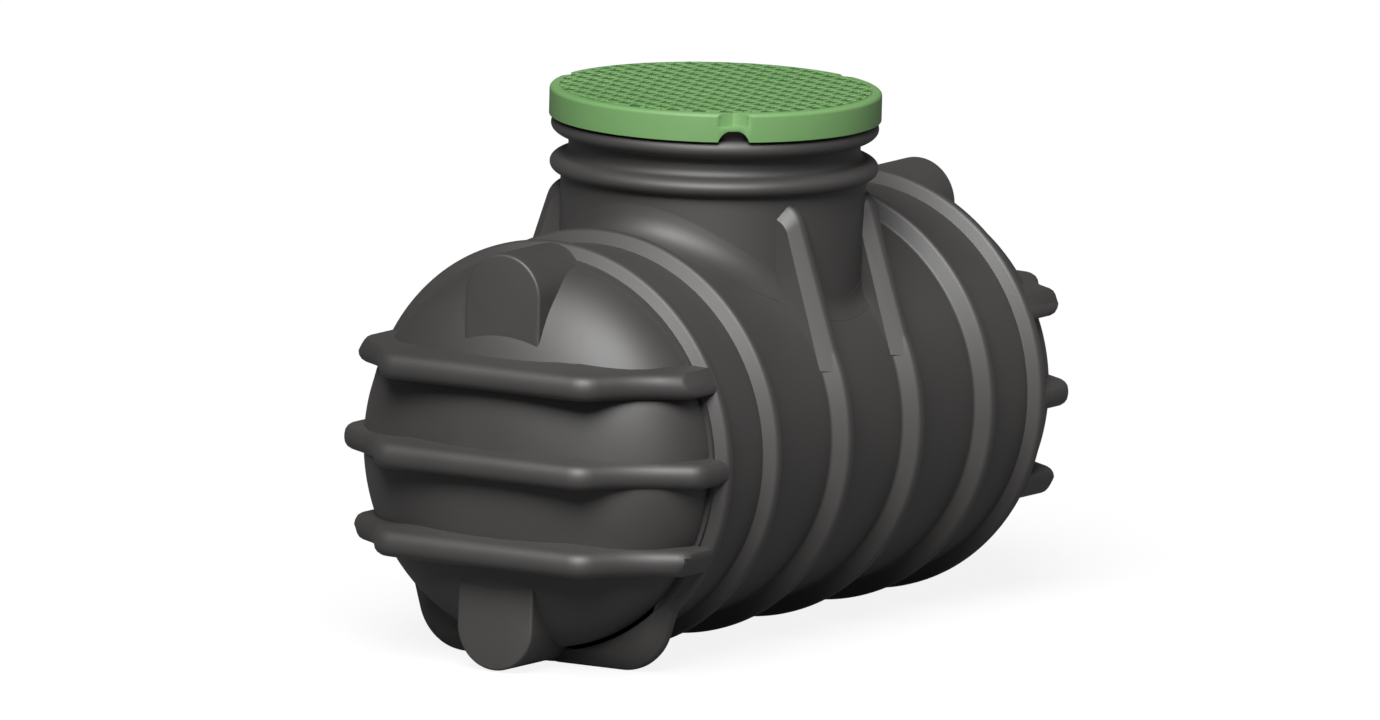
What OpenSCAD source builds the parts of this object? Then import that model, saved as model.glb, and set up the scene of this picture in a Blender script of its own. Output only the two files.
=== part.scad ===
// Horizontal ribbed septic tank with an access neck and a lift-off cover.
// Millimetres, +Z up. Origin: on the floor under the middle of the barrel.
// X runs along the barrel, from the near end (-X) to the far end (+X).

/* [Barrel] */
// Outer radius of the barrel between the ribs
barrel_r = 415; // [380:1:460]
// Thickness of the moulded wall
wall = 10; // [6:1:14]
// Distance from the middle of the tank to the end ribs
end_rib_x = 637; // [600:1:700]
// Distance from the middle of the tank to the second ribs
second_rib_x = 437; // [400:1:480]
// Distance from the middle of the tank to the neck ribs
neck_rib_x = 144; // [130:1:170]
// How far each dome reaches past its end rib's foot
dome_depth = 226; // [190:1:280]
// Fullness of the domes: 2 is an ellipse, more is fuller at the shoulder
dome_full = 2.15; // [2:0.05:2.6]

/* [Ribs] */
// Height of a rib over the barrel
rib_h = 35; // [20:1:45]
// Width of a rib with the fillets at its foot
rib_base = 66; // [58:1:76]
// Width of a rib at its crest
rib_crest = 30; // [26:1:36]
// Rounding of the crest's edges
rib_round = 12; // [6:1:13]
// Width of the fillets at a rib's foot
rib_foot = 5; // [3:1:8]

/* [Neck] */
// Offset of the neck from the middle of the tank, toward the far end
neck_x = 6; // [0:1:20]
// Clear bore of the neck at its narrowest
neck_bore_d = 600; // [560:1:620]
// How much wider the neck is below its collar than in the groove
neck_step = 15; // [4:1:20]
// Height of the collar's lower edge over the ribs
neck_rise = 64; // [50:1:90]
// Height of the collar
collar_h = 41; // [34:1:56]
// How far the collar stands out from the neck
collar_out = 24; // [16:1:30]
// Rounding of the collar, seen in plan
collar_round = 26; // [18:1:32]
// Height of the groove over the collar
groove_h = 40; // [24:1:50]
// Height of the bead that the cover's skirt hangs over
bead_h = 67; // [60:1:80]
// How far the bead stands out from the groove
bead_out = 38; // [32:1:44]
// Height of the rounding under the bead
bead_under = 23; // [16:1:32]
// Rounding over the bead
bead_round = 12; // [8:1:16]
// Height of the rim that the cover sits on, over the bead
rim_h = 27; // [20:1:40]
// How far the rim stands out from the bore
rim_out = 26; // [16:1:34]
// Radius of the fillet between the neck and the barrel
saddle_r = 75; // [50:1:90]
// Play between that fillet and the round walls behind it
saddle_gap = 0.05; // [0.02:0.01:0.2]

/* [Cover] */
// Thickness of the cover's plate
cover_t = 12; // [10:1:16]
// Height of the whole cover
cover_h = 64; // [56:1:72]
// Thickness of the cover's skirt
skirt_t = 3.5; // [3:0.5:6]
// Clearance round the bead, inside the skirt
skirt_fit = 1.2; // [0.8:0.1:2]
// Clearance between the cover's plate and the rim
cover_clearance = 0.5; // [0.3:0.1:1]
// Rounding of the cover's top edge
cover_round = 9; // [4:1:10]
// Direction of the first hand grip, and the turn between the three
grip_angle = 217.7; // [180:0.1:240]
// Width of a hand grip
grip_w = 73; // [60:1:90]
// Height of a hand grip below the cover's top
grip_h = 31; // [24:1:36]
// Clearance between a hand grip and the rim
grip_gap = 4; // [3:0.5:8]
// Radius of the notch under a hand grip
notch_r = 34.5; // [28:0.5:40]
// Height of the notch under a hand grip
notch_h = 24; // [16:1:26]

/* [End blocks] */
// Width of an end block
block_w = 185; // [160:1:200]
// How far the arch stays below the ribs' crests
block_drop = 3; // [2:1:10]
// How far a block reaches past its end rib's middle
block_reach = 211; // [190:1:225]
// Rounding of the edges round a block's face
block_round = 6; // [3:1:9]

/* [End bars] */
// Height of a bar's face with its rounded edges
bar_h = 58; // [50:1:70]
// Height of a bar at its root, where it is wider
bar_root_h = 80; // [70:1:96]
// Distance of the high and low bars from the barrel's axis
bar_z = 190; // [175:1:205]
// How far the middle bar's front stands out from the dome's tip
bar_out = 45; // [36:1:56]
// How far the high and low bars' fronts stay behind the middle one's
bar_step = 12; // [4:1:20]
// Rounding of a bar's upper and lower edges
bar_round = 25; // [14:1:30]
// Half length of a bar's straight front
bar_front = 221; // [190:1:235]
// Radius of a bar's front corners, seen from above
bar_corner_r = 60; // [45:1:75]
// Radius of a bar's shoulders, seen from above
bar_shoulder_r = 45; // [35:1:55]
// Distance of the shoulders from the end rib's middle
bar_shoulder_x = 88; // [75:1:105]

/* [Foot and gussets] */
// Half width of the foot's flat bottom
foot_flat = 196; // [180:1:225]
// Width of the gap between the foot's two halves, where the rib itself stands
foot_gap = 70; // [50:1:90]
// Radius of the foot's corners
foot_corner_r = 116; // [95:1:130]
// Lean of the foot's sides
foot_lean = 22; // [16:1:26]
// How far a gusset's top stays below the collar
gusset_drop = 12; // [8:1:30]
// Radius of a gusset's corner
gusset_corner_r = 62; // [45:1:75]
// Lean of a gusset's outer edge
gusset_lean = 20; // [16:0.1:22]

/* [Hidden] */
$fn = 96;
crest_r = barrel_r + rib_h;
axis_h = crest_r;
dome_x = end_rib_x + rib_base / 2;
dome_tip = dome_x + dome_depth;
bore_r = neck_bore_d / 2;
groove_r = bore_r + wall;
neck_r = groove_r + neck_step;
bead_r = groove_r + bead_out;
rim_r = bore_r + rim_out;
collar_z = crest_r + neck_rise;
groove_z = collar_z + collar_h;
bead_z = groove_z + groove_h;
rim_z = bead_z + bead_h;
rim_top = rim_z + rim_h;
skirt_r = bead_r + skirt_fit;
cover_r = skirt_r + skirt_t;
cover_under = rim_top + cover_clearance;
cover_top = cover_under + cover_t;
cover_bottom = cover_top - cover_h;
grip_depth = cover_r - skirt_t - grip_gap - rim_r;
block_z = crest_r - block_drop - block_w / 2;
foot_top = 0.45; // Where the foot's sides end, as a share of the depth of its corners
bar_back = 0.72; // Where a bar's hidden back lies, as a share of its plan
near_turn = acos((-neck_rib_x - neck_x) / neck_r); // Direction of the near neck rib from the neck's axis
far_turn = acos((neck_rib_x - neck_x) / neck_r); // Direction of the far neck rib from the neck's axis
rib_xs = [-end_rib_x, -second_rib_x, -neck_rib_x, neck_rib_x, second_rib_x, end_rib_x];
plastic = [0.20, 0.19, 0.19];
green = [0.45, 0.63, 0.38];
eps = 1;

// An arc's points about a centre, from angle a0 to angle a1 in n steps
function arc(c, r, a0, a1, n) = oval(c, r, r, a0, a1, n);
// The same for an oval of radii rx and ry
function oval(c, rx, ry, a0, a1, n) =
    [for (i = [0:n]) let (a = a0 + (a1 - a0) * i / n) c + [rx * cos(a), ry * sin(a)]];
// Points of a quadratic curve from a to b with control point c, ends left out
function curve(a, c, b, n) =
    [for (i = [1:n - 1]) let (t = i / n) (1 - t) * (1 - t) * a + 2 * t * (1 - t) * c + t * t * b];
// Where the line from p along u crosses the line from q along v
function crossing(p, u, q, v) =
    p + u * ((q[0] - p[0]) * v[1] - (q[1] - p[1]) * v[0]) / (u[0] * v[1] - u[1] * v[0]);
function reverse(list) = [for (i = [len(list) - 1:-1:0]) list[i]];
function mirror_y(list) = [for (p = list) [p[0], -p[1]]];

// Turns a shape made about Z into one about the barrel's axis
module along_x() {
    translate([0, 0, axis_h])
        rotate([0, 90, 0])
            children();
}

// Stands a flat outline across the barrel, centred on x, t thick
module across(x, t) {
    translate([x - t / 2, 0, axis_h])
        rotate([90, 0, 90])
            linear_extrude(t)
                children();
}

// One side of a rib's section as [radius, x] points, from its crest to its foot
function rib_side() =
    let (c = [crest_r - rib_round, rib_crest / 2 - rib_round],
        foot = [barrel_r, rib_base / 2 - rib_foot],
        d = foot - c,
        turn = atan2(d[1], d[0]) - acos(rib_round / norm(d)),
        flank = [-sin(turn), cos(turn)],
        a = foot - flank * rib_foot,
        b = [barrel_r, rib_base / 2])
    concat(arc(c, rib_round, 0, turn, 4), [a], curve(a, foot, b, 3), [b]);

// The outer outline of a rib's section as [radius, x] points, foot to foot
function rib_line(base_r) = concat(
    [[base_r, -rib_base / 2]], reverse(mirror_y(rib_side())), rib_side(), [[base_r, rib_base / 2]]);

// A rib's whole form, down to the barrel's axis
module rib_form(i) {
    along_x()
        translate([0, 0, rib_xs[i - 1]])
            rotate_extrude()
                polygon(rib_line(0));
}

// The neck's whole form, for what stands against it
module neck_form(r) {
    translate([neck_x, 0, axis_h])
        cylinder(r = r, h = rim_top);
}

// The barrel's whole form between two values of x
module barrel_form(x0, x1, r = barrel_r) {
    along_x()
        translate([0, 0, x0])
            cylinder(r = r, h = x1 - x0);
}

// A rib: the wall raised into a hollow corrugation
module rib(i) {
    inner_r = barrel_r - wall;
    color(plastic)
        difference() {
            along_x()
                translate([0, 0, rib_xs[i - 1]])
                    rotate_extrude()
                        polygon(concat(rib_line(inner_r), [
                            [inner_r, rib_base / 2 - wall],
                            [crest_r - wall, max(rib_crest / 2 - wall, 1)],
                            [crest_r - wall, -max(rib_crest / 2 - wall, 1)],
                            [inner_r, -rib_base / 2 + wall]]));
            neck_form(neck_r);
        }
}

// A plain stretch of barrel between rib i and the next
module barrel_bay(i) {
    x0 = rib_xs[i - 1] + rib_base / 2;
    x1 = rib_xs[i] - rib_base / 2;
    color(plastic)
        difference() {
            along_x()
                translate([0, 0, x0])
                    difference() {
                        cylinder(r = barrel_r, h = x1 - x0);
                        translate([0, 0, -eps])
                            cylinder(r = barrel_r - wall, h = x1 - x0 + 2 * eps);
                    }
            neck_form(neck_r - wall);
        }
}

// A dome's outline as [radius, x] points from its edge to its tip
function dome_line(r, depth, n) =
    [for (i = [0:n]) let (a = 90 * i / n, p = 2 / dome_full)
        [r * pow(cos(a), p), dome_x + depth * pow(sin(a), p)]];

// A dome's whole form with the barrel behind it, at the far end
module dome_form() {
    along_x()
        rotate_extrude()
            polygon(concat([[0, second_rib_x], [barrel_r, second_rib_x]],
                dome_line(barrel_r, dome_depth, 20)));
}

// Half an end block's plan as [half width, x] points, inset by i: rounded at its face
function block_half(i) =
    let (r = block_w / 2 - i, x = block_reach - i, e = max(block_round - i, 0))
    e > 0 ? arc([r - e, x - e], e, 0, 90, 4) : [[r, x]];

// The lower end block's form, arch down, inset by i
module block_form(i) {
    half = block_half(i);
    translate([end_rib_x, 0, axis_h - block_z]) {
        rotate([0, 90, 0])
            rotate([0, 0, -90])
                rotate_extrude(angle = 180)
                    polygon(concat([[0, 0], [half[0][0], 0]], half, [[0, block_reach - i]]));
        linear_extrude(block_z)
            polygon(concat([[0, -half[0][0]]], [for (p = half) [p[1], -p[0]]],
                [for (p = reverse(half)) [p[1], p[0]]], [[0, half[0][0]]]));
    }
}

// Turns the lower half of the tank into its upper half
module upside_down() {
    translate([0, 0, 2 * axis_h])
        mirror([0, 0, 1])
            children();
}

// An end dome, open behind its two blocks
module dome() {
    color(plastic)
        difference() {
            along_x()
                rotate_extrude()
                    polygon(concat(dome_line(barrel_r, dome_depth, 20),
                        reverse(dome_line(barrel_r - wall, dome_depth - wall, 20))));
            block_form(wall);
            upside_down()
                block_form(wall);
        }
}

// The lower flat-faced block, hollow like the rest of the wall
module block() {
    color(plastic)
        difference() {
            block_form(0);
            block_form(wall);
            dome_form();
            rib_form(6);
        }
}

// Half of a bar's outer line seen from above, from its front to its end rib
function bar_half(front_x, end_y) =
    let (turn = 65, swing = 60,
        c = [front_x - bar_corner_r, bar_front],
        s = [end_rib_x + bar_shoulder_x, end_y - bar_shoulder_r],
        a = c + bar_corner_r * [cos(turn), sin(turn)],
        b = s + bar_shoulder_r * [sin(swing), cos(swing)],
        k = crossing(a, [-sin(turn), cos(turn)], b, [cos(swing), -sin(swing)]))
    concat(arc(c, bar_corner_r, 0, turn, 4), curve(a, k, b, 4),
        arc(s, bar_shoulder_r, 90 - swing, 90, 3), [[end_rib_x + rib_crest / 4, end_y]]);

// A bar's section as [outward, up] points: round outer edges, open back
function bar_section() = concat(
    arc([-bar_round, bar_round - bar_h / 2], bar_round, -90, 0, 4),
    arc([-bar_round, bar_h / 2 - bar_round], bar_round, 0, 90, 4));

// Half the width of the ribs' crest circle at height z over the axis
function crest_width(z) = sqrt(crest_r * crest_r - z * z);
// A point kept inside the ribs' crest circle, for a bar at height z
function kept(p, z) = let (w = crest_width(z + p[2])) [p[0], max(min(p[1], w), -w), p[2]];

// A bar round a dome at height z over the axis
module bar(z) {
    end_y = crest_width(max(abs(z) - bar_h / 2, 0));
    front_x = dome_tip + bar_out - (z == 0 ? 0 : bar_step);
    half = bar_half(front_x, end_y);
    path = concat(reverse(mirror_y(half)), half);
    n = len(path);
    section = bar_section();
    m = len(section) + 2;
    core = [end_rib_x, 0];
    rings = [for (i = [0:n - 1])
        let (p = path[i], d = path[min(i + 1, n - 1)] - path[max(i - 1, 0)],
            out = [d[1], -d[0]] / norm(d), q = core + bar_back * (p - core))
        concat([for (s = section) kept([p[0] + out[0] * s[0], p[1] + out[1] * s[0], s[1]], z)],
            [[q[0], q[1], bar_root_h / 2], [q[0], q[1], -bar_root_h / 2]])];
    color(plastic)
        difference() {
            translate([0, 0, axis_h + z])
                polyhedron(
                    points = [for (ring = rings) for (p = ring) p],
                    faces = concat(
                        [[for (j = [0:m - 1]) j]],
                        [[for (j = [m - 1:-1:0]) (n - 1) * m + j]],
                        [for (i = [0:n - 2]) for (j = [0:m - 1])
                            [i * m + j, (i + 1) * m + j, (i + 1) * m + (j + 1) % m, i * m + (j + 1) % m]]));
            dome_form();
            rib_form(6);
        }
}

// Stands an outline across the barrel as a rib's crest and flanks do: its children
// are the outline inset by 0, by the crest's rounding and by the rib's height
module like_rib(x) {
    hull() {
        across(x, rib_crest - 2 * rib_round)
            children(0);
        across(x, rib_crest - 2 * rib_round * (1 - sin(30)))
            children(1);
        across(x, rib_crest - 2 * rib_round * (1 - sin(60)))
            children(2);
        across(x, rib_base)
            children(3);
    }
}

// The foot's outline below the axis, inset by i: flat bottom, round corners, leaning sides
module foot_outline(i) {
    r = foot_corner_r - i;
    low = foot_corner_r - crest_r;
    side = [foot_flat + r * cos(foot_lean), low - r * sin(foot_lean)];
    top = [side[0] + (0 - side[1]) * tan(foot_lean) * foot_top, low * foot_top];
    hull() {
        translate([foot_flat, low])
            circle(r = r);
        translate([-foot_flat, low])
            circle(r = r);
        polygon([top, [-top[0], top[1]], [0, top[1] + eps]]);
    }
}

// Half of the foot that widens the near end rib below, on the +Y side
module foot() {
    color(plastic)
        difference() {
            like_rib(-end_rib_x) {
                foot_outline(0);
                foot_outline(rib_round * (1 - cos(30)));
                foot_outline(rib_round * (1 - cos(60)));
                foot_outline(rib_h + rib_foot / 2);
            }
            barrel_form(-dome_x - eps, eps - second_rib_x);
            rib_form(1);
            near_end()
                block_form(0);
            translate([-dome_x - eps, foot_gap / 2 - 2 * axis_h, -eps])
                cube([rib_base + 2 * eps, 2 * axis_h, axis_h]);
        }
}

// A gusset's outline on the +Y side, inset by i, from inside the neck
function gusset_line(i) =
    let (inner = neck_r * cos(asin((neck_rib_x + neck_x + rib_base / 2) / neck_r)) - eps,
        top = collar_z - gusset_drop,
        foot = [crest_r * cos(gusset_lean), crest_r * sin(gusset_lean)],
        rise = top - gusset_corner_r - foot[1],
        c = [foot[0] - rise * tan(gusset_lean) - gusset_corner_r, top - gusset_corner_r - i * 0.4],
        r = gusset_corner_r - i * 0.6,
        low = [foot[0] - i, foot[1]],
        d = low - c,
        turn = atan2(d[1], d[0]) + acos(r / norm(d)))
    concat([[inner, foot[1]], low], arc(c, r, turn, 90, 10), [[inner, top - i]]);

// A gusset's whole form at x, on the +Y side
module gusset_form(x) {
    like_rib(x) {
        polygon(gusset_line(0));
        polygon(gusset_line(rib_round * (1 - cos(30))));
        polygon(gusset_line(rib_round * (1 - cos(60))));
        polygon(gusset_line(rib_h));
    }
}

// A web between the neck and neck rib i on the +Y side
module gusset(i) {
    color(plastic)
        difference() {
            gusset_form(rib_xs[i - 1]);
            barrel_form(-second_rib_x, second_rib_x);
            neck_form(neck_r);
            rib_form(i);
        }
}

// The fillet's section in direction a from the neck's axis, as [radius, height] points
function saddle_section(a) =
    let (z0 = sqrt(pow(barrel_r, 2) - pow(neck_r * sin(a), 2)),
        slope = atan2(neck_r * pow(sin(a), 2), z0),
        reach = min(saddle_r * tan(45 - slope / 2), collar_z - z0 - eps),
        r1 = neck_r + reach * cos(slope),
        z1 = sqrt(pow(barrel_r, 2) - pow(r1 * sin(a), 2)),
        low = [neck_r - wall, z0 - saddle_r])
    concat([low, [neck_r - wall, z0 + reach], [neck_r + eps, z0 + reach]],
        curve([neck_r + eps, z0 + reach], [neck_r + eps, z0 + eps], [r1, z1 + eps], 7),
        [[r1, z1 + eps], [r1, z1 - wall]]);

// The radius of a cutter whose flats stand just off a round wall of radius r
function just_off(r) = r / cos(180 / $fn) + saddle_gap;

// The fillet between the neck and the barrel, from direction a0 to direction a1:
// its children are what else stands in its way
module saddle(a0, a1) {
    n = 24;
    rings = [for (i = [0:n]) let (a = a0 + (a1 - a0) * i / n)
        [for (p = saddle_section(a)) [p[0] * cos(a), p[0] * sin(a), p[1]]]];
    m = len(rings[0]);
    color(plastic)
        difference() {
            translate([neck_x, 0, axis_h])
                polyhedron(
                    points = [for (ring = rings) for (p = ring) p],
                    faces = concat(
                        [[for (j = [0:m - 1]) j]],
                        [[for (j = [m - 1:-1:0]) n * m + j]],
                        [for (i = [0:n - 1]) for (j = [0:m - 1])
                            [i * m + j, (i + 1) * m + j, (i + 1) * m + (j + 1) % m, i * m + (j + 1) % m]]));
            barrel_form(-second_rib_x, second_rib_x, just_off(barrel_r));
            neck_form(just_off(neck_r));
            for (i = [2:5])
                rib_form(i);
            children();
        }
}

// A ring about the neck's axis from a section of [radius, height] points over the axis
module neck_ring(section) {
    translate([neck_x, 0, axis_h])
        rotate_extrude()
            polygon(section);
}

// The two gussets' forms on both sides of the neck rib at x
module gusset_pair(x) {
    gusset_form(x);
    mirror([0, 1, 0])
        gusset_form(x);
}

// The fillet between the two neck ribs on the +Y side
module side_saddle() {
    saddle(far_turn, near_turn) {
        gusset_form(-neck_rib_x);
        gusset_form(neck_rib_x);
    }
}

module neck_tube() {
    color(plastic)
        difference() {
            translate([neck_x, 0, axis_h])
                difference() {
                    cylinder(r = neck_r, h = collar_z);
                    translate([0, 0, -eps])
                        cylinder(r = neck_r - wall, h = collar_z + 2 * eps);
                }
            barrel_form(-second_rib_x, second_rib_x);
        }
}

// The bulge round the neck, hollow like the rest of the wall
module collar_ring() {
    ry = collar_h / 2;
    c = [neck_r + collar_out - collar_round, collar_z + ry];
    color(plastic)
        neck_ring(concat(
            [[neck_r - wall, collar_z], [neck_r, collar_z]],
            oval(c, collar_round, ry, -80, 90, 14),
            [[groove_r, groove_z], [bore_r, groove_z], [bore_r, groove_z - wall]],
            oval(c, collar_round - wall, ry - wall, 90, -80, 12),
            [[neck_r - wall, collar_z + wall]]));
}

module neck_groove() {
    color(plastic)
        neck_ring([[bore_r, groove_z], [groove_r, groove_z], [groove_r, bead_z], [bore_r, bead_z]]);
}

// The bead under the cover and the rim that carries it
module neck_rim() {
    low = [groove_r, bead_z + bead_under];
    high = [bead_r - bead_round, rim_z - bead_round];
    color(plastic)
        neck_ring(concat(
            [[bore_r, bead_z], [groove_r, bead_z]],
            oval(low, bead_out, bead_under, -90, 0, 8),
            arc(high, bead_round, 0, 90, 4),
            [[rim_r, rim_z], [rim_r, rim_top], [rim_r - wall, rim_top], [rim_r - wall, rim_z - wall]],
            arc(high, max(bead_round - wall, 0.5), 90, 0, 2),
            oval(low, bead_out - wall, bead_under - wall, 0, -90, 6),
            [[bore_r, bead_z + wall]]));
}

// The three hand grips' places round the cover
module at_grips() {
    translate([neck_x, 0, axis_h])
        for (turn = [0, 120, 240])
            rotate(grip_angle + turn)
                children();
}

// A hand grip's V-shaped pocket, grown by i
module grip_form(i) {
    translate([cover_r, 0, cover_top - grip_h - i])
        linear_extrude(grip_h + i + eps)
            polygon([[eps, -grip_w / 2 - i], [eps, grip_w / 2 + i], [-eps - i, grip_w / 2 + i],
                [-grip_depth - i, 2 * i], [-grip_depth - i, -2 * i], [-eps - i, -grip_w / 2 - i]]);
}

module cover_plate() {
    color(green)
        difference() {
            neck_ring(concat([[0, cover_under], [cover_r, cover_under]],
                arc([cover_r - cover_round, cover_top - cover_round], cover_round, 0, 90, 4),
                [[0, cover_top]]));
            at_grips()
                grip_form(0);
        }
}

// The cover's skirt with the walls of its three hand grips
module cover_skirt() {
    color(green)
        difference() {
            union() {
                neck_ring([[skirt_r, cover_bottom], [cover_r, cover_bottom],
                    [cover_r, cover_under], [skirt_r, cover_under]]);
                intersection() {
                    at_grips()
                        grip_form(skirt_t);
                    neck_ring([[0, cover_bottom], [cover_r, cover_bottom], [cover_r, cover_under], [0, cover_under]]);
                }
            }
            at_grips() {
                grip_form(0);
                translate([rim_r, 0, cover_bottom])
                    rotate([90, 0, 90])
                        linear_extrude(2 * (cover_r - rim_r))
                            intersection() {
                                translate([0, notch_h + 2 - notch_r])
                                    circle(r = notch_r);
                                translate([-notch_r, -eps])
                                    square([2 * notch_r, notch_h + eps]);
                            }
            }
        }
}

module near_end() {
    mirror([1, 0, 0])
        children();
}

near_end() dome();  // dome_near
dome();  // dome_far
near_end() upside_down() block();  // block_near_top
near_end() block();  // block_near_bottom
upside_down() block();  // block_far_top
block();  // block_far_bottom
near_end() bar(bar_z);  // bar_near_high
near_end() bar(0);  // bar_near_mid
near_end() bar(-bar_z);  // bar_near_low
bar(bar_z);  // bar_far_high
bar(0);  // bar_far_mid
bar(-bar_z);  // bar_far_low
barrel_bay(1);  // barrel_bay_1
barrel_bay(2);  // barrel_bay_2
barrel_bay(3);  // barrel_bay_3
barrel_bay(4);  // barrel_bay_4
barrel_bay(5);  // barrel_bay_5
rib(1);  // rib_1
rib(2);  // rib_2
rib(3);  // rib_3
rib(4);  // rib_4
rib(5);  // rib_5
rib(6);  // rib_6
mirror([0, 1, 0]) foot();  // foot_left
foot();  // foot_right
saddle(near_turn, 360 - near_turn) gusset_pair(-neck_rib_x);  // saddle_near
saddle(-far_turn, far_turn) gusset_pair(neck_rib_x);  // saddle_far
mirror([0, 1, 0]) side_saddle();  // saddle_left
side_saddle();  // saddle_right
mirror([0, 1, 0]) gusset(3);  // gusset_left_near
mirror([0, 1, 0]) gusset(4);  // gusset_left_far
gusset(3);  // gusset_right_near
gusset(4);  // gusset_right_far
neck_tube();
collar_ring();
neck_groove();
neck_rim();
cover_plate();
cover_skirt();
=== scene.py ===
"""Looks of a horizontal septic tank with a ribbed barrel, domed ends and a green cover."""

from __future__ import annotations

import logging
import math
from dataclasses import dataclass
from enum import Enum
from typing import Iterable, Sequence

import bpy
from mathutils import Euler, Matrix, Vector

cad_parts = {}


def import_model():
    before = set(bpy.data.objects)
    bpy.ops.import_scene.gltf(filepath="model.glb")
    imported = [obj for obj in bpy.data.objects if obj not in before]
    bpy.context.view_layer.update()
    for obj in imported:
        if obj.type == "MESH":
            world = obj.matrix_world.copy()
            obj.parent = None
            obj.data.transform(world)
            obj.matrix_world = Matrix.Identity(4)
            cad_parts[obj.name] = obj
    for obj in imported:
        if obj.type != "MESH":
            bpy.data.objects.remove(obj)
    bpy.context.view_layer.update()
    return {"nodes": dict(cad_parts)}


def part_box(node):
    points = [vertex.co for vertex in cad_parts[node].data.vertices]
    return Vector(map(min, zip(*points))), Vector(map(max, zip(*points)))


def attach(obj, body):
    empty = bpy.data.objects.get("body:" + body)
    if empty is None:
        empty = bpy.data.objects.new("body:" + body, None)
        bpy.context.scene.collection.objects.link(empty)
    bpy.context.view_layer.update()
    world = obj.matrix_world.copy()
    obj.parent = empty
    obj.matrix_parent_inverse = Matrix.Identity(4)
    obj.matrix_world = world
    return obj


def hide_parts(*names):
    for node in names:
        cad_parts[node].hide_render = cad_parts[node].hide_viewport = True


log = logging.getLogger("septic_tank")

Point = tuple[float, float]
Setting = str | int | float | bool


# --- Shader sheets -------------------------------------------------------------------


class Wire:
    """A shader socket that takes part in Python arithmetic."""

    def __init__(self, sheet: "Sheet", socket: bpy.types.NodeSocket) -> None:
        """Wraps one output socket.

        Args:
            sheet: The sheet that the socket's node stands on.
            socket: The output socket.
        """
        self.sheet = sheet
        self.socket = socket

    def maths(self, operation: str, *values: "Wire | float") -> "Wire":
        """Adds a Math node.

        Args:
            operation: The node's operation.
            values: What goes into its sockets, in order.

        Returns:
            The node's result.
        """
        node = self.sheet.node("ShaderNodeMath", {"operation": operation}, dict(enumerate(values)))
        return Wire(self.sheet, node.outputs[0])

    def __add__(self, other: "Wire | float") -> "Wire":
        """This plus other."""
        return self.maths("ADD", self, other)

    def __radd__(self, other: float) -> "Wire":
        """A number plus this."""
        return self.maths("ADD", other, self)

    def __sub__(self, other: "Wire | float") -> "Wire":
        """This less other."""
        return self.maths("SUBTRACT", self, other)

    def __rsub__(self, other: float) -> "Wire":
        """A number less this."""
        return self.maths("SUBTRACT", other, self)

    def __mul__(self, other: "Wire | float") -> "Wire":
        """This times other."""
        return self.maths("MULTIPLY", self, other)

    def __rmul__(self, other: float) -> "Wire":
        """A number times this."""
        return self.maths("MULTIPLY", other, self)

    def above(self, low: float, high: float) -> "Wire":
        """How far this is on its way from low to high, from 0 to 1.

        Args:
            low: The value that gives 0.
            high: The value that gives 1.

        Returns:
            The clamped share.
        """
        node = self.sheet.node("ShaderNodeMapRange", {"clamp": True},
                               {"Value": self, "From Min": low, "From Max": high})
        return Wire(self.sheet, node.outputs[0])


class Sheet:
    """The node tree of one material or of the world."""

    def __init__(self, tree: bpy.types.NodeTree) -> None:
        """Empties a node tree.

        Args:
            tree: The tree to work on.
        """
        self.tree = tree
        self.tree.nodes.clear()

    def node(self, kind: str, settings: dict[str, Setting] | None = None,
             sockets: dict[str | int, object] | None = None) -> bpy.types.Node:
        """Adds a node.

        Args:
            kind: The node's type.
            settings: Its own properties, set before its sockets.
            sockets: A value or a wire for each socket, by name or number.

        Returns:
            The new node.
        """
        made = self.tree.nodes.new(kind)
        for name, value in (settings or {}).items():
            setattr(made, name, value)
        for name, value in (sockets or {}).items():
            if isinstance(value, Wire):
                self.tree.links.new(value.socket, made.inputs[name])
            else:
                made.inputs[name].default_value = value
        return made

    def place(self) -> Wire:
        """The place on the object, in metres."""
        return Wire(self, self.node("ShaderNodeTexCoord").outputs["Object"])

    def noise(self, scale: float, detail: float = 2.0, stretch: Sequence[float] = (1, 1, 1)) -> Wire:
        """A cloudy pattern on the object's own place.

        Args:
            scale: Lumps for each metre.
            detail: How many finer layers it has.
            stretch: How much each axis is packed.

        Returns:
            The pattern's value, around a half.
        """
        spread = self.node("ShaderNodeMapping", {}, {"Vector": self.place(), "Scale": stretch})
        node = self.node("ShaderNodeTexNoise", {},
                         {"Vector": Wire(self, spread.outputs[0]), "Scale": scale, "Detail": detail})
        return Wire(self, node.outputs[0])

    def blend(self, share: Wire, low: Sequence[float] | Wire, high: Sequence[float] | Wire) -> Wire:
        """Goes from one colour to another.

        Args:
            share: 0 for the first colour and 1 for the second.
            low: The first colour.
            high: The second colour.

        Returns:
            The mixed colour.
        """
        node = self.node("ShaderNodeMix", {"data_type": "RGBA"}, {0: share, 6: low, 7: high})
        return Wire(self, node.outputs[2])


# --- Finishes ------------------------------------------------------------------------


@dataclass(frozen=True)
class Pattern:
    """A cloudy pattern and the part of its range that is stretched over 0 to 1."""

    scale: float
    detail: float
    low: float
    high: float
    stretch: tuple[float, float, float] = (1.0, 1.0, 1.0)

    def laid(self, sheet: Sheet) -> Wire:
        """Lays the pattern on a sheet.

        Args:
            sheet: The sheet to work on.

        Returns:
            The pattern, from 0 to 1.
        """
        return sheet.noise(self.scale, self.detail, self.stretch).above(self.low, self.high)


CLOUDS = Pattern(3.2, 4.0, 0.32, 0.68)
SPECKS = Pattern(240.0, 2.0, 0.55, 0.8)
STREAKS = Pattern(26.0, 5.0, 0.62, 0.8, (0.25, 1.0, 1.0))
PATCHES = Pattern(5.0, 3.0, 0.45, 0.75)


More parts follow.
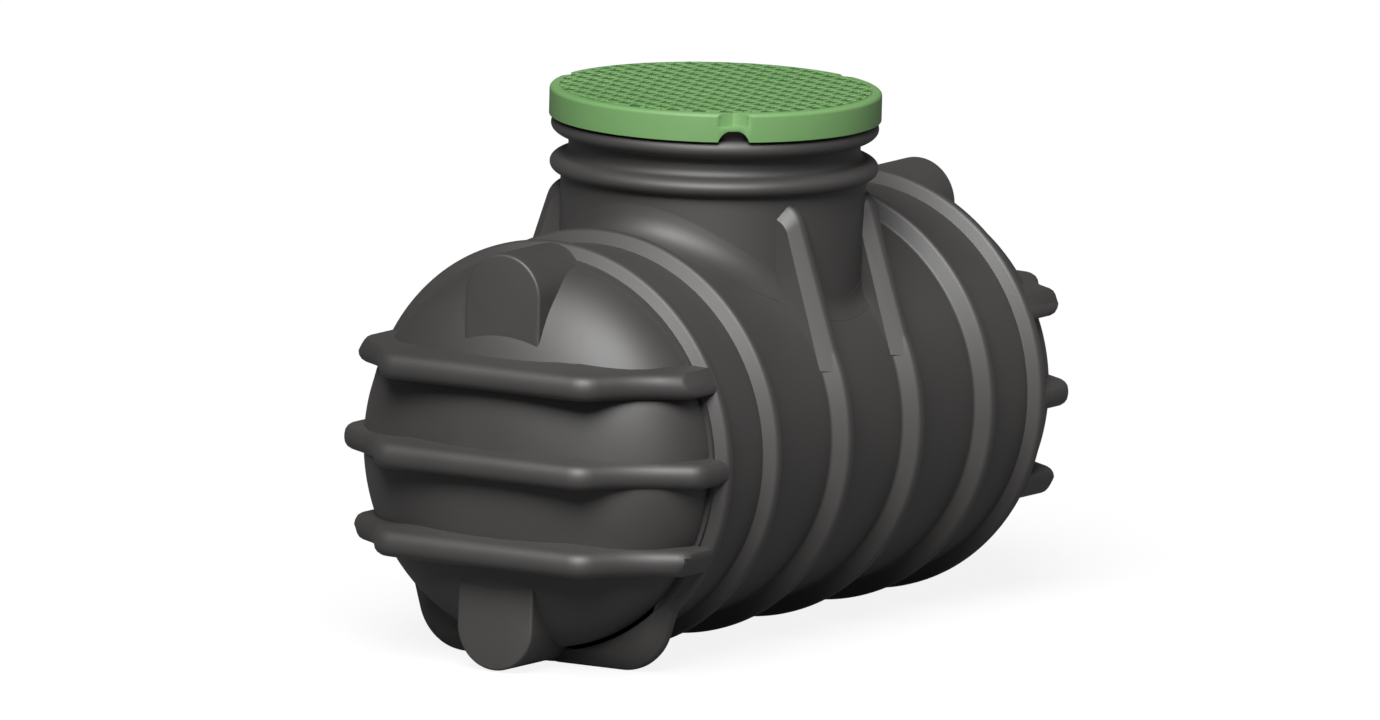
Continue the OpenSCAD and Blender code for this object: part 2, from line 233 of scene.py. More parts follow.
@dataclass(frozen=True)
class PaintedTreadShade:
    """Painted shade: a darker colour painted on the tread's ground between the raised bars, where their
    shade falls.
    """

    colour: tuple[float, float, float, float]
    centre: Point
    radius: float
    low: float
    high: float
    soft: float = 0.0005
    soft_edge: float = 0.004

    def share(self, sheet: Sheet) -> Wire:
        """Where the painted shade lies, on the ground between the bars.

        Args:
            sheet: The sheet to work on.

        Returns:
            1 where the shade is painted and 0 elsewhere.
        """
        place = sheet.node("ShaderNodeSeparateXYZ", {}, {"Vector": sheet.place()})
        x, y, z = (Wire(sheet, place.outputs[i]) for i in range(3))
        x, y = x - self.centre[0], y - self.centre[1]
        away = x.maths("SQRT", x * x + y * y)
        level = z.above(self.low - self.soft, self.low)
        level = level * (1.0 - z.above(self.high, self.high + self.soft))
        return level * (1.0 - away.above(self.radius, self.radius + self.soft_edge))


@dataclass(frozen=True)
class MouldedPlastic:
    """A moulded plastic with soft clouds in its colour, a fine grain and faint scuffs."""

    name: str
    slot: str
    dark: tuple[float, float, float, float]
    light: tuple[float, float, float, float]
    scuffed: tuple[float, float, float, float]
    roughness: float
    scuffs: float
    grain_scale: float
    grain_depth: float
    specular: float
    # Painted shade on the tread's ground between the bars, if the finish has one.
    tread_shade: PaintedTreadShade | None = None
    speck_share: float = 0.25
    cloud_sheen: float = 0.05
    scuff_dulling: float = 0.25
    speck_dulling: float = 0.03
    scuff_height: float = 0.4
    grain_detail: float = 3.0
    grain_strength: float = 0.35

    def material(self) -> bpy.types.Material:
        """Makes the material.

        Returns:
            The finished material.
        """
        made = bpy.data.materials.new(self.name)
        made.use_nodes = True
        sheet = Sheet(made.node_tree)
        clouds, specks = CLOUDS.laid(sheet), SPECKS.laid(sheet)
        scuffs = STREAKS.laid(sheet) * PATCHES.laid(sheet) * self.scuffs
        base = sheet.blend(clouds, self.dark, self.light)
        base = sheet.blend(specks * self.speck_share, base, self.light)
        base = sheet.blend(scuffs, base, self.scuffed)
        # Paints the bars' shade onto the tread's ground as a darker colour.
        if self.tread_shade is not None:
            base = sheet.blend(self.tread_shade.share(sheet), base, self.tread_shade.colour)
        roughness = (self.roughness + (clouds - 0.5) * self.cloud_sheen + scuffs * self.scuff_dulling
                     + specks * self.speck_dulling)
        grain = sheet.noise(self.grain_scale, self.grain_detail) + scuffs * self.scuff_height
        bump = sheet.node("ShaderNodeBump", {}, {
            "Strength": self.grain_strength, "Distance": self.grain_depth, "Height": grain})
        shell = sheet.node("ShaderNodeBsdfPrincipled", {}, {
            "Base Color": base, "Roughness": roughness, "Specular IOR Level": self.specular,
            "Normal": Wire(sheet, bump.outputs[0])})
        sheet.node("ShaderNodeOutputMaterial", {}, {"Surface": Wire(sheet, shell.outputs[0])})
        return made


class Finish(Enum):
    """The two plastics of the tank."""

    TANK = MouldedPlastic(
        name="black_polyethylene", slot="black_plastic",
        dark=(0.029, 0.0265, 0.0255, 1), light=(0.036, 0.033, 0.0315, 1),
        scuffed=(0.07, 0.066, 0.063, 1),
        roughness=0.58, scuffs=0.25, grain_scale=420.0, grain_depth=0.0004, specular=1.0)
    COVER = MouldedPlastic(
        name="green_cover_plastic", slot="green_plastic",
        dark=(0.135, 0.285, 0.098, 1), light=(0.16, 0.32, 0.118, 1),
        scuffed=(0.22, 0.37, 0.17, 1),
        roughness=0.55, scuffs=0.2, grain_scale=600.0, grain_depth=0.0003, specular=0.5,
        # Painted shade: a darker green on the tread's ground, where the bars' shade falls.
        tread_shade=PaintedTreadShade(colour=(0.052, 0.118, 0.036, 1), centre=(0.006, 0.0), radius=0.329,
                      low=1.1487, high=1.1494))


class Wardrobe:
    """Hands out each finish's material and puts it on pieces."""

    def __init__(self) -> None:
        """Makes every finish's material once."""
        self.materials = {finish: finish.value.material() for finish in Finish}

    def dress(self, piece: bpy.types.Object, finish: Finish, body: str, nodes: Iterable[str]) -> None:
        """Gives a piece its finish, its body and the nodes that it stands for.

        Args:
            piece: The finished piece.
            finish: Its finish.
            body: The body it rides on.
            nodes: The CAD nodes that it replaces.
        """
        piece.data.materials.clear()
        piece.data.materials.append(self.materials[finish])
        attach(piece, body)
        for node in nodes:
            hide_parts(node)
        log.info("%s: %d faces", piece.name, len(piece.data.polygons))


# --- Modelling with operators --------------------------------------------------------


class Axis(Enum):
    """The two axes that round pieces are turned about."""

    BARREL = (1.0, 0.0, 0.0)
    NECK = (0.0, 0.0, 1.0)


@dataclass(frozen=True)
class Corner:
    """A corner of an outline, with the radius of its rounding."""

    x: float
    y: float
    radius: float = 0.0


def rounded(corners: Sequence[Corner], step: float = 12.0) -> list[Point]:
    """Runs through corners and rounds each one by its radius.

    Args:
        corners: The outline's corners in order.
        step: The degrees between the points of a rounding.

    Returns:
        The outline's points.
    """
    points: list[Point] = [(corners[0].x, corners[0].y)]
    for before, corner, after in zip(corners, corners[1:], corners[2:]):
        here = Vector((corner.x, corner.y))
        back = (Vector((before.x, before.y)) - here).normalized()
        ahead = (Vector((after.x, after.y)) - here).normalized()
        turn = math.pi - back.angle(ahead)
        if corner.radius == 0 or turn < 1e-4:
            points.append((here.x, here.y))
            continue
        reach = corner.radius * math.tan(turn / 2)
        centre = here + (back + ahead).normalized() * corner.radius / math.cos(turn / 2)
        start, end = here + back * reach - centre, here + ahead * reach - centre
        first = math.atan2(start.y, start.x)
        swing = math.remainder(math.atan2(end.y, end.x) - first, math.tau)
        count = max(2, math.ceil(math.degrees(turn) / step))
        for i in range(count + 1):
            angle = first + swing * i / count
            points.append((centre.x + corner.radius * math.cos(angle),
                           centre.y + corner.radius * math.sin(angle)))
    points.append((corners[-1].x, corners[-1].y))
    return points


def arc(centre: Point, out: float, rise: float, start: float, end: float, count: int) -> list[Point]:
    """Runs round a part of an ellipse.

    Args:
        centre: The ellipse's middle.
        out: Its half width.
        rise: Its half height.
        start: The first point's angle, in degrees.
        end: The last point's angle, in degrees.
        count: How many steps it takes.

    Returns:
        The points, both ends with them.
    """
    turns = [math.radians(start + (end - start) * i / count) for i in range(count + 1)]
    return [(centre[0] + out * math.cos(turn), centre[1] + rise * math.sin(turn)) for turn in turns]


def on(axis: Axis, x: float, y: float, centre: Vector) -> Vector:
    """Stands an outline's point in the plane through its axis.

    Args:
        axis: The axis that the outline is turned about.
        x: The distance from the axis.
        y: The place along the axis.
        centre: A point on the axis, from which places along it count.

    Returns:
        The point in the tank's frame.
    """
    if axis is Axis.BARREL:
        return centre + Vector((y, 0, x))
    return centre + Vector((x, 0, y))


def draw(name: str, points: Sequence[Vector], closed: bool = False) -> bpy.types.Object:
    """Draws a line of points by extruding one vertex from each to the next. Leaves edit mode on.

    Args:
        name: The new object's name.
        points: The line's points.
        closed: Whether the last point joins the first.

    Returns:
        The new object, in edit mode with all of it selected.
    """
    bpy.ops.object.select_all(action="DESELECT")
    bpy.ops.mesh.primitive_plane_add(size=0.01)
    piece = bpy.context.object
    piece.name = name
    bpy.ops.object.mode_set(mode="EDIT")
    bpy.ops.mesh.select_mode(type="VERT")
    bpy.ops.mesh.select_all(action="SELECT")
    bpy.ops.mesh.merge(type="CENTER")
    bpy.ops.transform.translate(value=points[0])
    for here, there in zip(points, points[1:]):
        bpy.ops.mesh.extrude_vertices_move(TRANSFORM_OT_translate={"value": there - here})
    bpy.ops.mesh.select_all(action="SELECT")
    if closed:
        bpy.ops.mesh.edge_face_add()
    return piece


def smooth(piece: bpy.types.Object, degrees: float = 32.0) -> bpy.types.Object:
    """Shades a piece smooth over every edge that turns less than an angle.

    Args:
        piece: The piece.
        degrees: The angle.

    Returns:
        The same piece.
    """
    bpy.ops.object.select_all(action="DESELECT")
    piece.select_set(True)
    bpy.context.view_layer.objects.active = piece
    bpy.ops.object.shade_smooth_by_angle(angle=math.radians(degrees))
    return piece


def turned(name: str, outline: Sequence[Point], axis: Axis, centre: Vector,
           steps: int) -> bpy.types.Object:
    """Turns an outline of (distance from the axis, place along it) points into a round piece.

    Args:
        name: The new object's name.
        outline: The outline's points.
        axis: The axis it is turned about.
        centre: A point on the axis.
        steps: How many facets a full turn has.

    Returns:
        The round piece, out of edit mode.
    """
    piece = draw(name, [on(axis, x, y, centre) for x, y in outline])
    bpy.ops.mesh.spin(steps=steps, angle=math.tau, center=centre, axis=axis.value)
    bpy.ops.mesh.select_all(action="SELECT")
    bpy.ops.mesh.remove_doubles(threshold=0.00005)
    bpy.ops.mesh.normals_make_consistent(inside=False)
    bpy.ops.object.mode_set(mode="OBJECT")
    return piece


def prism(name: str, outline: Sequence[Vector], rise: Vector) -> bpy.types.Object:
    """Raises a flat outline into a prism.

    Args:
        name: The new object's name.
        outline: The outline's points in order.
        rise: How far and which way it is raised.

    Returns:
        The prism, out of edit mode.
    """
    piece = draw(name, outline, closed=True)
    bpy.ops.mesh.extrude_region_move(TRANSFORM_OT_translate={"value": rise})
    bpy.ops.mesh.select_all(action="SELECT")
    bpy.ops.mesh.normals_make_consistent(inside=False)
    bpy.ops.object.mode_set(mode="OBJECT")
    return piece


def apply(piece: bpy.types.Object, kind: str, **settings: object) -> None:
    """Puts a modifier on a piece and applies it.

    Args:
        piece: The piece.
        kind: The modifier's type.
        **settings: The modifier's properties.
    """
    bpy.ops.object.select_all(action="DESELECT")
    piece.select_set(True)
    bpy.context.view_layer.objects.active = piece
    bpy.ops.object.modifier_add(type=kind)
    modifier = piece.modifiers[-1]
    for name, value in settings.items():
        setattr(modifier, name, value)
    bpy.ops.object.modifier_apply(modifier=modifier.name)


def combine(piece: bpy.types.Object, operation: str, tool: bpy.types.Object) -> None:
    """Joins a tool to a piece, cuts it out, or keeps what they share, and throws the tool away.

    Args:
        piece: The piece.
        operation: UNION, DIFFERENCE or INTERSECT.
        tool: The solid that works on it.
    """
    apply(piece, "BOOLEAN", operation=operation, object=tool, solver="MANIFOLD")
    bpy.data.objects.remove(tool)


def refined(name: str, nodes: Sequence[str], shown: dict[str, bpy.types.Object]) -> bpy.types.Object:
    """Makes one smooth piece from copies of CAD nodes, each merged first.

    Args:
        name: The new object's name.
        nodes: The CAD nodes.
        shown: The frame's node objects.

    Returns:
        The smooth piece.
    """
    copies = []
    for node in nodes:
        copy = bpy.data.objects.new(f"{name}_{node}", shown[node].data.copy())
        bpy.context.scene.collection.objects.link(copy)
        copies.append(copy)
    bpy.ops.object.select_all(action="DESELECT")
    for copy in copies:
        copy.select_set(True)
    bpy.context.view_layer.objects.active = copies[0]
    bpy.ops.object.join()
    piece = bpy.context.object
    piece.name = name
    bpy.ops.mesh.customdata_custom_splitnormals_clear()
    bpy.ops.object.mode_set(mode="EDIT")
    bpy.ops.mesh.select_all(action="SELECT")
    bpy.ops.mesh.remove_doubles(threshold=0.00002)
    bpy.ops.object.mode_set(mode="OBJECT")
    return smooth(piece)


# --- The tank ------------------------------------------------------------------------


def reach(node: str) -> tuple[Vector, Vector, Vector]:
    """Where a CAD node lies.

    Args:
        node: The node's name.

    Returns:
        Its lowest corner, its highest corner and its middle.
    """
    low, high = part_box(node)
    return low, high, (low + high) / 2


def half_width(node: str) -> float:
    """Half of a CAD node's width across the tank.

    Args:
        node: The node's name.

    Returns:
        The half width, a round node's radius.
    """
    low, high, _ = reach(node)
    return (high.y - low.y) / 2


@dataclass
class Barrel:
    """The ribbed barrel, one moulded wall from end rib to end rib."""

    wardrobe: Wardrobe
    wall: float = 0.009
    rib_top: float = 0.0104
    rib_foot: float = 0.028
    crest_round: float = 0.012
    foot_round: float = 0.009
    steps: int = 192
    bore_steps: int = 128
    bore_clear: float = 0.1
    ribs: tuple[str, ...] = tuple(f"rib_{i}" for i in range(1, 7))
    bays: tuple[str, ...] = tuple(f"barrel_bay_{i}" for i in range(1, 6))

    def outline(self) -> list[Point]:
        """The wall's outer line over all six ribs, as (radius, place) points."""
        wall_r = (reach("barrel_bay_1")[1] - reach("barrel_bay_1")[0]).z / 2
        crest_r = (reach("rib_2")[1] - reach("rib_2")[0]).z / 2
        corners = [Corner(wall_r, reach("rib_1")[0].x)]
        for rib in self.ribs:
            middle = reach(rib)[2].x
            corners += [Corner(wall_r, middle - self.rib_foot, self.foot_round),
                        Corner(crest_r, middle - self.rib_top, self.crest_round),
                        Corner(crest_r, middle + self.rib_top, self.crest_round),
                        Corner(wall_r, middle + self.rib_foot, self.foot_round)]
        corners.append(Corner(wall_r, reach("rib_6")[1].x))
        return rounded(corners)

    def build(self) -> None:
        """Turns the wall, opens it under the neck and dresses it."""
        centre = Vector((0, 0, reach("barrel_bay_1")[2].z))
        piece = turned("barrel_wall", self.outline(), Axis.BARREL, centre, self.steps)
        apply(piece, "SOLIDIFY", thickness=self.wall, offset=-1.0, use_even_offset=True)
        low, high, middle = reach("neck_tube")
        bore = (high.x - low.x) / 2 - self.wall
        bpy.ops.object.select_all(action="DESELECT")
        bpy.ops.mesh.primitive_cylinder_add(vertices=self.bore_steps, radius=bore,
                                            depth=high.z - low.z + 2 * self.bore_clear,
                                            location=(middle.x, 0, middle.z))
        combine(piece, "DIFFERENCE", bpy.context.object)
        self.wardrobe.dress(smooth(piece), Finish.TANK, "tank", [*self.bays, *self.ribs])


@dataclass
class DomedEnd:
    """One end of the tank: its dome, two pipe pads and three bars."""

    wardrobe: Wardrobe
    shown: dict[str, bpy.types.Object]
    end: str
    wall: float = 0.009
    fullness: float = 2.15
    steps: int = 192
    rings: int = 40

    def outline(self) -> list[Point]:
        """The dome's outer line, as (radius, place) points from its rim to its tip."""
        low, high, _ = reach(f"dome_{self.end}")
        radius = half_width(f"dome_{self.end}")
        rim, tip = (low.x, high.x) if self.end == "far" else (high.x, low.x)
        points = []
        for i in range(self.rings + 1):
            turn = math.radians(90 * i / self.rings)
            points.append((radius * max(math.cos(turn), 0.0) ** (2 / self.fullness),
                           rim + (tip - rim) * math.sin(turn) ** (2 / self.fullness)))
        points[-1] = (0.0, tip)
        return points

    def build(self) -> None:
        """Makes the dome, the pads and the bars."""
        centre = Vector((0, 0, reach(f"dome_{self.end}")[2].z))
        dome = turned(f"dome_wall_{self.end}", self.outline(), Axis.BARREL, centre, self.steps)
        apply(dome, "SOLIDIFY", thickness=self.wall, offset=-1.0)
        self.wardrobe.dress(smooth(dome), Finish.TANK, "tank", [f"dome_{self.end}"])
        for place in ("top", "bottom"):
            node = f"block_{self.end}_{place}"
            self.wardrobe.dress(refined(f"pipe_pad_{self.end}_{place}", [node], self.shown),
                                Finish.TANK, "tank", [node])
        for place in ("high", "mid", "low"):
            node = f"bar_{self.end}_{place}"
            self.wardrobe.dress(refined(f"end_bar_{self.end}_{place}", [node], self.shown),
                                Finish.TANK, "tank", [node])


@dataclass
class Foot:
    """The widened foot under the near end rib."""

    wardrobe: Wardrobe
    shown: dict[str, bpy.types.Object]

    def build(self) -> None:
        """Smooths both halves of the foot."""
        for side in ("left", "right"):
            piece = refined(f"foot_form_{side}", [f"foot_{side}"], self.shown)
            self.wardrobe.dress(piece, Finish.TANK, "tank", [f"foot_{side}"])


@dataclass
class Neck:
    """The round access neck with its collar, groove and bead, and what braces it."""

    wardrobe: Wardrobe
    shown: dict[str, bpy.types.Object]
    wall: float = 0.01
    collar_round: float = 0.026
    collar_start: float = -78.0
    bead_under: float = 0.023
    bead_over: float = 0.022
    groove_round: float = 0.018
    rim_wall: float = 0.026
    root: float = 0.02
    lip: float = 0.002
    sink: float = 0.003
    sink_reach: float = 0.09
    steps: int = 192

    def outline(self) -> list[Point]:
        """The neck's section as (radius, height) points, up outside and down inside."""
        tube_low = reach("neck_tube")[0]
        collar_low, collar_high, collar_mid = reach("collar_ring")
        groove_low = reach("neck_groove")[0]
        rim_low, rim_high, _ = reach("neck_rim")
        tube_r, groove_r = half_width("neck_tube"), half_width("neck_groove")
        bead_r = half_width("neck_rim")
        bore_r = groove_r - self.wall
        rim_r = bore_r + self.rim_wall
        collar_in = half_width("collar_ring") - self.collar_round
        shoulder = rim_low.z + self.bead_under
        root = tube_low.z + self.root
        points = [(tube_r, root), (tube_r, collar_low.z)]
        points += arc((collar_in, collar_mid.z), self.collar_round, (collar_high.z - collar_low.z) / 2,
                      self.collar_start, 90, 16)
        points += arc((collar_in, groove_low.z + self.groove_round), collar_in - groove_r,
                      self.groove_round, -90, -180, 10)[1:]
        points += arc((groove_r, shoulder), bead_r - groove_r, self.bead_under, -90, 0, 10)
        points += arc((rim_r, shoulder), bead_r - rim_r, self.bead_over, 0, 90, 10)[1:]
        shoulder += self.bead_over
        lip = self.lip
        return points + rounded([
            Corner(rim_r, shoulder + lip / 2), Corner(rim_r, rim_high.z, lip),
            Corner(rim_r - self.wall, rim_high.z, lip), Corner(rim_r - self.wall, shoulder, lip),
            Corner(bore_r, shoulder - self.wall, lip), Corner(bore_r, collar_mid.z, lip),
            Corner(tube_r - self.wall, collar_low.z, lip), Corner(tube_r - self.wall, root)])

    def bury(self, web: bpy.types.Object) -> None:
        """Draws the foot of a web a little into the rib that it runs on into.

        Args:
            web: The web.
        """
        foot = min(vertex.co.z for vertex in web.data.vertices)
        axis = reach("barrel_bay_1")[2].z
        for vertex in web.data.vertices:
            share = max(0.0, 1.0 - (vertex.co.z - foot) / self.sink_reach)
            inward = Vector((0, -vertex.co.y, axis - vertex.co.z)).normalized()
            vertex.co += inward * self.sink * share * share * (3 - 2 * share)

    def build(self) -> None:
        """Turns the neck and smooths its saddle and gussets."""
        middle = reach("neck_groove")[2]
        section = self.outline()
        ring = turned("neck_wall", [*section, section[0]], Axis.NECK, Vector((middle.x, 0, 0)),
                      self.steps)
        self.wardrobe.dress(smooth(ring), Finish.TANK, "tank",
                            ["neck_tube", "collar_ring", "neck_groove", "neck_rim"])
        for side in ("near", "far", "left", "right"):
            piece = refined(f"neck_fillet_{side}", [f"saddle_{side}"], self.shown)
            self.wardrobe.dress(piece, Finish.TANK, "tank", [f"saddle_{side}"])
        for side in ("left", "right"):
            for end in ("near", "far"):
                node = f"gusset_{side}_{end}"
                web = refined(f"neck_web_{side}_{end}", [node], self.shown)
                self.bury(web)
                self.wardrobe.dress(web, Finish.TANK, "tank", [node])


@dataclass
class Cover:
    """The lift-off cover: a rounded plate and skirt, three hand grips and a raised tread."""

    wardrobe: Wardrobe
    plate: float = 0.0095
    skirt: float = 0.0035
    edge_round: float = 0.009
    tread_rise: float = 0.0024
    tread_margin: float = 0.021
    bar_length: float = 0.0395
    bar_width: float = 0.0085
    pitch_along: float = 0.0367
    pitch_across: float = 0.0151
    grip_angle: float = 217.7
    grip_width: float = 0.073
    grip_depth: float = 0.0192
    grip_height: float = 0.031
    notch_radius: float = 0.0345
    notch_height: float = 0.024
    notch_steps: int = 64
    mouth_round: float = 0.004
    tip_round: float = 0.008
    rim_round: float = 0.001
    over: float = 0.02
    bar_sink: float = 0.0008
    bar_crown: float = 0.0009
    bar_draft: float = 0.0014
    grip_margin: float = 0.0045
    lattice_start: Point = (-0.0475, 0.0382)
    lattice_half: int = 11
    edge_bevel: float = 0.0011
    steps: int = 192

    def __post_init__(self) -> None:
        """Reads the cover's place from the frame."""
        low, high, middle = reach("cover_plate")
        self.centre = Vector((middle.x, 0, 0))
        self.radius = half_width("cover_plate")
        self.top = high.z
        self.ground = high.z - self.tread_rise
        self.bottom = reach("cover_skirt")[0].z
        self.under = low.z

    def grips(self) -> list[float]:
        """The directions of the three hand grips, in radians."""
        return [math.radians(self.grip_angle + 120 * i) for i in range(3)]

    def pocket(self, turn: float, grow: float, out: float) -> bpy.types.Object:
        """The V-shaped space of a hand grip.

        Args:
            turn: The grip's direction from the cover's middle.
            grow: How much wider and deeper it is than the grip itself.
            out: How far it goes over the cover's edge.

        Returns:
            The solid of that space.
        """
        half = self.grip_width / 2 + grow
        chord = math.sqrt(self.radius ** 2 - half ** 2)
        tip = self.radius - self.grip_depth - grow
        plan = rounded([Corner(self.radius + out, -half), Corner(chord, -half, self.mouth_round),
                        Corner(tip, 0, self.tip_round), Corner(chord, half, self.mouth_round),
                        Corner(self.radius + out, half)])
        along = Vector((math.cos(turn), math.sin(turn), 0))
        across = Vector((-math.sin(turn), math.cos(turn), 0))
        floor = Vector((0, 0, self.top - self.grip_height - grow))
        points = [self.centre + along * x + across * y + floor for x, y in plan]
        height = self.grip_height + (self.over / 2 if grow == 0 else -self.plate / 2)
        return prism("grip_space", points, Vector((0, 0, height)))

    def notch(self, turn: float) -> bpy.types.Object:
        """The arched notch in the skirt below a hand grip.

        Args:
            turn: The grip's direction from the cover's middle.

        Returns:
            The solid of that space.
        """
        along = Vector((math.cos(turn), math.sin(turn), 0))
        middle = self.centre + along * self.radius
        middle.z = self.bottom + self.notch_height + 2 * self.rim_round - self.notch_radius
        bpy.ops.object.select_all(action="DESELECT")
        bpy.ops.mesh.primitive_cylinder_add(vertices=self.notch_steps, radius=self.notch_radius,
                                            depth=2.5 * self.over, location=middle,
                                            rotation=(math.pi / 2, 0, turn + math.pi / 2))
        tool = bpy.context.object
        bpy.ops.object.transform_apply(location=True, rotation=True, scale=True)
        bpy.ops.object.mode_set(mode="EDIT")
        bpy.ops.mesh.select_all(action="SELECT")
        bpy.ops.mesh.bisect(plane_co=(0, 0, self.bottom + self.notch_height), plane_no=(0, 0, 1),
                            use_fill=True, clear_outer=True)
        bpy.ops.object.mode_set(mode="OBJECT")
        return tool

    def shell(self) -> bpy.types.Object:
        """The plate and skirt with their grips and notches.

        Returns:
            The finished shell.
        """
        inner = self.radius - self.skirt
        section = rounded([Corner(0, self.under), Corner(inner, self.under, self.rim_round),
                           Corner(inner, self.bottom), Corner(self.radius, self.bottom, self.rim_round),
                           Corner(self.radius, self.ground, self.edge_round),
                           Corner(0, self.ground)], 9.0)
        piece = turned("cover_shell", section, Axis.NECK, self.centre, self.steps)
        for turn in self.grips():
            combine(piece, "UNION", self.pocket(turn, self.skirt, -0.3 * self.over))
            combine(piece, "DIFFERENCE", self.pocket(turn, 0.0, self.over))
            combine(piece, "DIFFERENCE", self.notch(turn))
        apply(piece, "BEVEL", width=self.edge_bevel, segments=2, limit_method="ANGLE",
              angle_limit=math.radians(38))
        return smooth(piece, 40)

    def tread_bar(self, middle: Vector, turn: float) -> bpy.types.Object:
        """One raised bar of the tread, with drafted sides and soft edges.

        Args:
            middle: The middle of its foot.
            turn: Its direction in plan.

        Returns:
            The bar.
        """
        height = self.tread_rise + self.bar_sink - self.bar_crown
        bpy.ops.object.select_all(action="DESELECT")
        lift = Vector((0, 0, height / 2 - self.bar_sink))
        bpy.ops.mesh.primitive_cube_add(size=1, location=middle + lift,
                                        rotation=(0, 0, turn),
                                        scale=(self.bar_length, self.bar_width, height))
        bar = bpy.context.object
        bpy.ops.object.transform_apply(location=True, rotation=True, scale=True)
        for face in bar.data.polygons:
            face.select = face.normal.z > 0.9
        bpy.ops.object.mode_set(mode="EDIT")
        bpy.ops.mesh.select_mode(type="FACE")
        bpy.ops.mesh.inset(thickness=self.bar_draft, depth=self.bar_crown)
        bpy.ops.object.mode_set(mode="OBJECT")
        return bar

    def tread(self) -> bpy.types.Object:
        """The tread: bars in two directions in a pinwheel lattice, trimmed to the cover.

        Returns:
            The finished tread.
        """
        along = Vector((self.pitch_along, -self.pitch_across, 0))
        across = Vector((self.pitch_across, self.pitch_along, 0))
        start = self.centre + Vector((*self.lattice_start, self.ground))
        start -= (along + across) * self.lattice_half
        first = self.tread_bar(start, 0.0)
        second = self.tread_bar(start + (along + across) / 2, math.pi / 2)
        bpy.ops.object.select_all(action="DESELECT")
        first.select_set(True)
        second.select_set(True)
        bpy.context.view_layer.objects.active = first
        bpy.ops.object.join()
        tread = bpy.context.object
        tread.name = "cover_tread"
        for step in (along, across):
            apply(tread, "ARRAY", count=2 * self.lattice_half + 1, use_relative_offset=False,
                  use_constant_offset=True, constant_offset_displace=step)
        bpy.ops.object.select_all(action="DESELECT")
        bpy.ops.mesh.primitive_cylinder_add(vertices=self.steps, radius=self.radius - self.tread_margin,
                                            depth=self.over, location=(self.centre.x, 0, self.ground))
        combine(tread, "INTERSECT", bpy.context.object)
        for turn in self.grips():
            combine(tread, "DIFFERENCE", self.pocket(turn, self.grip_margin, self.over))
        return smooth(tread, 25)

    def build(self) -> None:
        """Makes the shell and the tread."""
        self.wardrobe.dress(self.shell(), Finish.COVER, "cover", ["cover_plate", "cover_skirt"])
        self.wardrobe.dress(self.tread(), Finish.COVER, "cover", [])


# --- The studio ----------------------------------------------------------------------


@dataclass(frozen=True)
class SoftLight:
    """A wide, soft lamp that lights the whole studio evenly from one side."""

    name: str
    azimuth: float
    elevation: float
    spread: float
    strength: float

    def hang(self) -> None:
        """Hangs the lamp."""
        turn, rise = math.radians(self.azimuth), math.radians(self.elevation)
        away = Vector((math.cos(rise) * math.cos(turn), math.cos(rise) * math.sin(turn),
                       math.sin(rise)))
        data = bpy.data.lights.new(self.name, "SUN")
        data.energy = self.strength
        data.angle = math.radians(self.spread)
        lamp = bpy.data.objects.new(self.name, data)
        bpy.context.scene.collection.objects.link(lamp)
        lamp.location = away * 5
        lamp.rotation_euler = (-away).to_track_quat("-Z", "Y").to_euler()


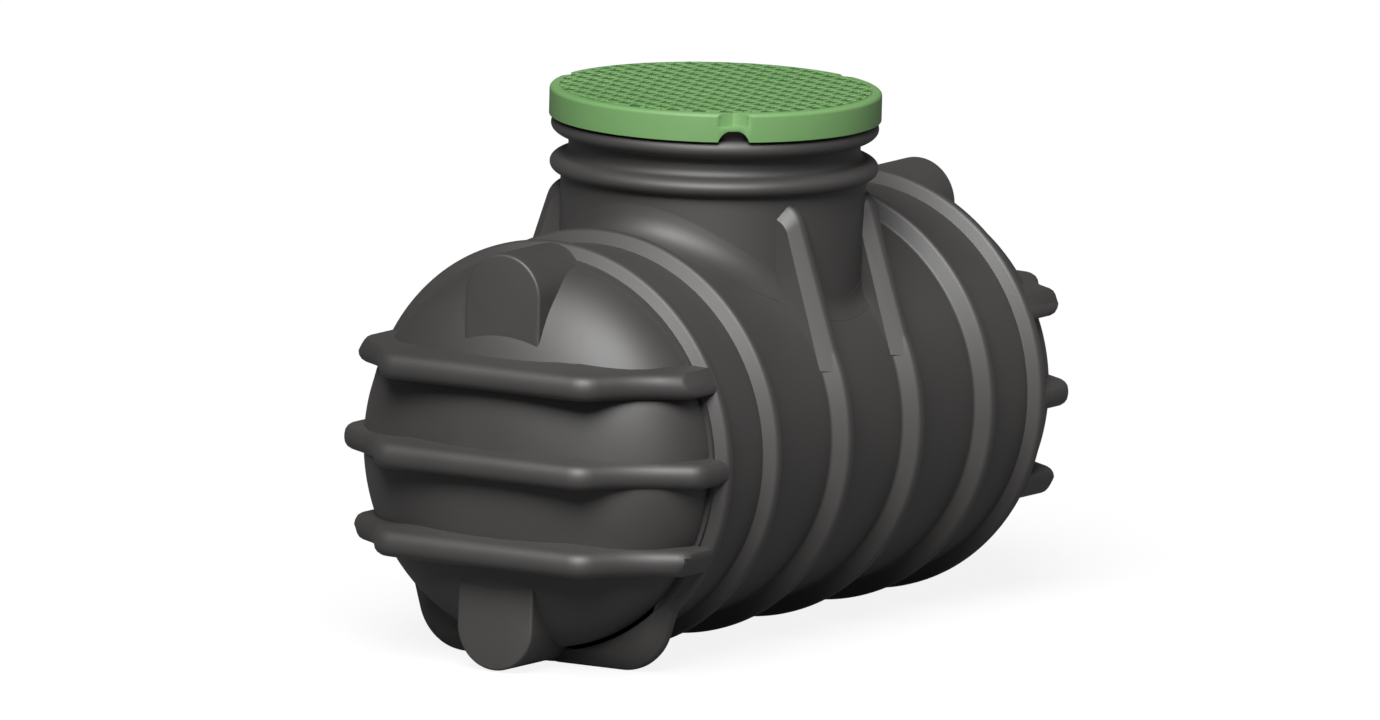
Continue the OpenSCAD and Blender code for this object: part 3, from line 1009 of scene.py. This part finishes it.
@dataclass
class Studio:
    """The floor, the light and the camera."""

    floor_size: float = 60.0
    azimuth: float = -58.906
    elevation: float = 9.0825
    roll: float = 1.4531
    width: float = 2.9238
    aim: tuple[float, float, float] = (0.0055, 0.0, 0.45)
    shift_right: float = -0.0373
    shift_up: float = 0.1131
    mirrored: float = 0.06
    floor_glow: float = 0.88
    floor_seen: tuple[float, float, float, float] = (0.85, 0.85, 0.85, 1)
    floor_unseen: tuple[float, float, float, float] = (0.1, 0.1, 0.1, 1)
    sky_light: float = 0.016
    lamps: tuple[SoftLight, ...] = (
        SoftLight("key_light", -157.0, 46.0, 36.0, 5.4),
        SoftLight("side_light", -50.0, 25.0, 40.0, 0.14),
    )

    def seen(self, sheet: Sheet) -> Wire:
        """How much a ray sees of the white studio.

        Args:
            sheet: The sheet to work on.

        Returns:
            1 to the camera and through glass, and a faint share in a reflection.
        """
        rays = sheet.node("ShaderNodeLightPath")
        straight = (Wire(sheet, rays.outputs["Is Camera Ray"])
                    + Wire(sheet, rays.outputs["Is Transmission Ray"]))
        mirrored = Wire(sheet, rays.outputs["Is Glossy Ray"]) * self.mirrored
        return straight.maths("MINIMUM", straight + mirrored, 1.0)

    def floor(self) -> None:
        """Lays a plain pale floor that keeps the tank's shadow."""
        bpy.ops.object.select_all(action="DESELECT")
        bpy.ops.mesh.primitive_plane_add(size=self.floor_size, location=(0, 0, -0.0005))
        floor = bpy.context.object
        floor.name = "studio_floor"
        made = bpy.data.materials.new("pale_floor")
        made.use_nodes = True
        sheet = Sheet(made.node_tree)
        seen = self.seen(sheet)
        paint = sheet.blend(seen, self.floor_unseen, self.floor_seen)
        plain = sheet.node("ShaderNodeBsdfDiffuse", {}, {"Color": paint})
        glow = sheet.node("ShaderNodeEmission", {}, {"Color": (1, 1, 1, 1), "Strength": 1.0})
        mix = sheet.node("ShaderNodeMixShader", {}, {0: seen * self.floor_glow,
                                                     1: Wire(sheet, plain.outputs[0]),
                                                     2: Wire(sheet, glow.outputs[0])})
        sheet.node("ShaderNodeOutputMaterial", {}, {"Surface": Wire(sheet, mix.outputs[0])})
        floor.data.materials.append(made)

    def sky(self) -> None:
        """A white backdrop to the camera and a dim even light on the tank."""
        world = bpy.data.worlds.new("studio")
        bpy.context.scene.world = world
        world.use_nodes = True
        sheet = Sheet(world.node_tree)
        seen = self.seen(sheet)
        backdrop = sheet.node("ShaderNodeBackground", {}, {"Color": (1, 1, 1, 1), "Strength": 1.0})
        dim = sheet.node("ShaderNodeBackground", {}, {"Color": (1, 1, 1, 1), "Strength": self.sky_light})
        mix = sheet.node("ShaderNodeMixShader", {}, {0: seen, 1: Wire(sheet, dim.outputs[0]),
                                                     2: Wire(sheet, backdrop.outputs[0])})
        sheet.node("ShaderNodeOutputWorld", {}, {"Surface": Wire(sheet, mix.outputs[0])})

    def camera(self) -> None:
        """Stands the camera at its viewing angle."""
        turn = (Euler((math.radians(90 - self.elevation), 0, math.radians(self.azimuth))).to_matrix()
                @ Euler((0, 0, math.radians(self.roll))).to_matrix())
        data = bpy.data.cameras.new("camera")
        data.type = "ORTHO"
        data.ortho_scale = self.width
        data.clip_end = 100
        camera = bpy.data.objects.new("camera", data)
        bpy.context.scene.collection.objects.link(camera)
        centre = Vector(self.aim) + turn @ Vector((self.shift_right, self.shift_up, 0))
        camera.location = centre + turn @ Vector((0, 0, 8))
        camera.rotation_euler = turn.to_euler()
        bpy.context.scene.camera = camera

    def build(self) -> None:
        """Sets the whole studio up."""
        self.floor()
        self.sky()
        for lamp in self.lamps:
            lamp.hang()
        self.camera()
        bpy.context.scene.view_settings.view_transform = "Standard"


def main() -> None:
    """Builds the tank's looks and the studio."""
    logging.basicConfig(level=logging.INFO, format="%(message)s")
    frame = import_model()
    wardrobe = Wardrobe()
    Barrel(wardrobe).build()
    for end in ("near", "far"):
        DomedEnd(wardrobe, frame["nodes"], end).build()
    Foot(wardrobe, frame["nodes"]).build()
    Neck(wardrobe, frame["nodes"]).build()
    Cover(wardrobe).build()
    Studio().build()


if __name__ == "__main__":
    main()
